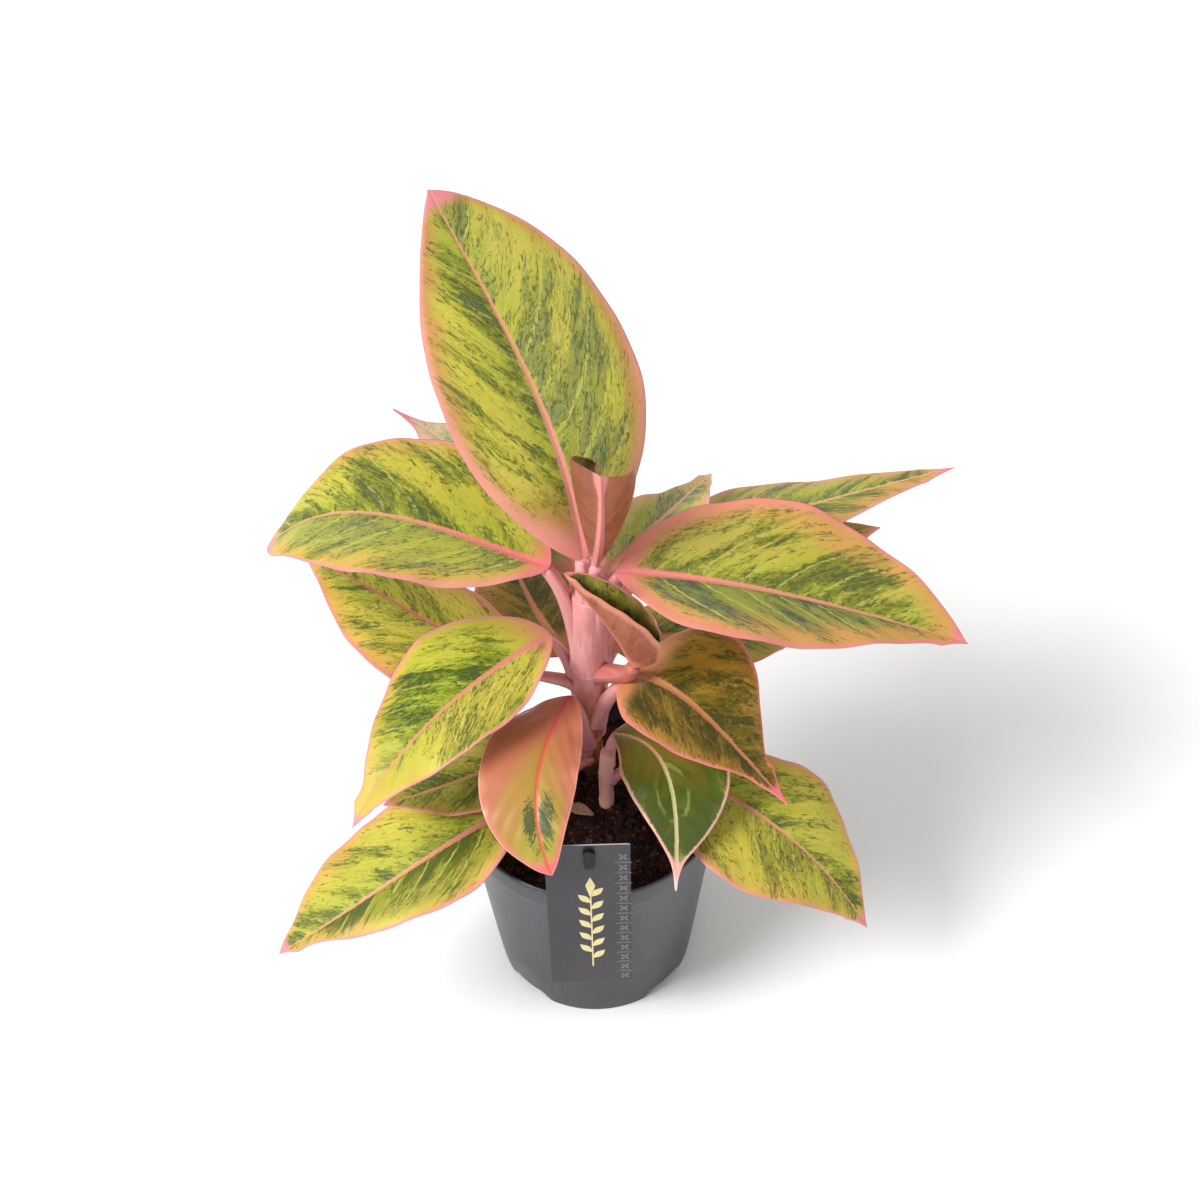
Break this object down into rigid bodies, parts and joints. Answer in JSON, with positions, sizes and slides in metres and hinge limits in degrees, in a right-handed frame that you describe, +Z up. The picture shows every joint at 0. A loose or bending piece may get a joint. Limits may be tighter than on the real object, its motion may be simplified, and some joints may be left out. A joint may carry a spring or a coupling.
{
  "type": "potted salmon fantasy chinese evergreen",
  "caption": "Small leafy aroid in a tapered nursery pot: pink-stemmed pointed leaves, green and salmon, over dark soil, with a plain card tag on a peg.",
  "frame": {"origin": "centre of the pot's flat foot, on the surface that it stands on", "axes": "+Z up along the pot's axis, -Y to the front with the tag, +X to the right of the tag as it is read"},
  "size_m": [0.3086, 0.1946, 0.3603],
  "materials": {
    "pot_plastic": "satin dark grey moulded plastic",
    "soil": "damp dark peat crumbs, rough",
    "cane": "brown-pink sheathed cane, half matt",
    "pink_stem": "fleshy pink stem, satin",
    "leaf": "satin yellow-green blade with dark flecks, salmon margins and pink ribs",
    "young_leaf": "satin dusky salmon underside",
    "dry_leaf": "dry and papery, matt",
    "tag_card": "matt dark grey card, printed",
    "peg_plastic": "black moulded plastic"
  },
  "bodies": {
    "root": {"pot": "pot_plastic", "main_stem": "cane", "side_shoot": "pink_stem", "leaf_spear": "young_leaf", "leaf_top": "leaf", "leaf_right": "leaf", "leaf_left": "leaf", "leaf_back_left": "leaf", "leaf_back": "leaf", "leaf_back_right": "leaf", "leaf_under_right": "leaf", "leaf_rolled": "young_leaf", "leaf_front_left": "leaf", "leaf_olive": "leaf", "leaf_mid_left": "leaf", "leaf_mid_back": "leaf", "leaf_mid_right": "leaf", "leaf_salmon_front": "leaf", "leaf_small_left": "leaf", "leaf_low_left": "leaf", "leaf_dark_front": "leaf", "leaf_low_right": "leaf", "soil": "soil", "dry_scrap": "dry_leaf", "tag": "tag_card", "peg": "peg_plastic"}
  },
  "joints": []
}
